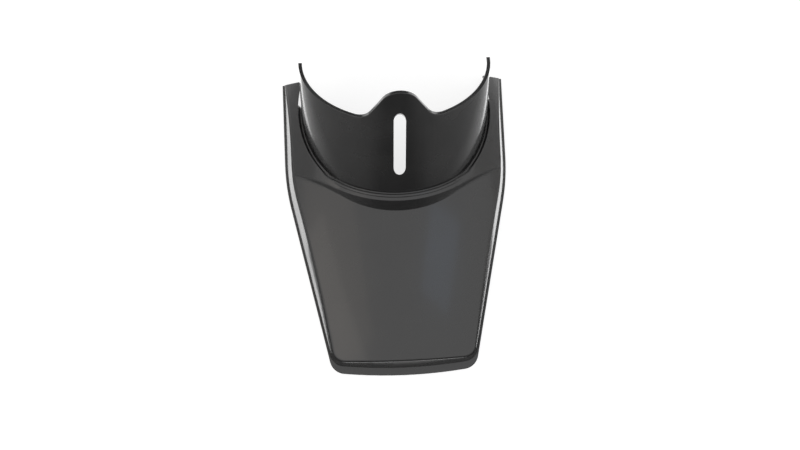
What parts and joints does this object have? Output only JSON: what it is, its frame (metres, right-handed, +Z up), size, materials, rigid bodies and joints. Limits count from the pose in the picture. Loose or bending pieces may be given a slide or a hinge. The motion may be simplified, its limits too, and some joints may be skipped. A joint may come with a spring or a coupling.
{
  "type": "motorcycle rear inner fender",
  "caption": "Moulded plastic rear inner fender: a tapered crowned flap with a turned-down edge, joined by a stepped yoke to a slotted half-pipe collar that slides into a metal fender.",
  "frame": {"origin": "on the rest plane under the rim, at the middle of the overall length and width", "axes": "+X across the fender, +Y from the flap's free end to the collar, +Z up, along the bolt in the slot"},
  "size_m": [0.1574, 0.2127, 0.1086],
  "materials": {
    "black_plastic": "glossy moulded black"
  },
  "bodies": {
    "root": {"inner_fender": "black_plastic"}
  },
  "joints": []
}
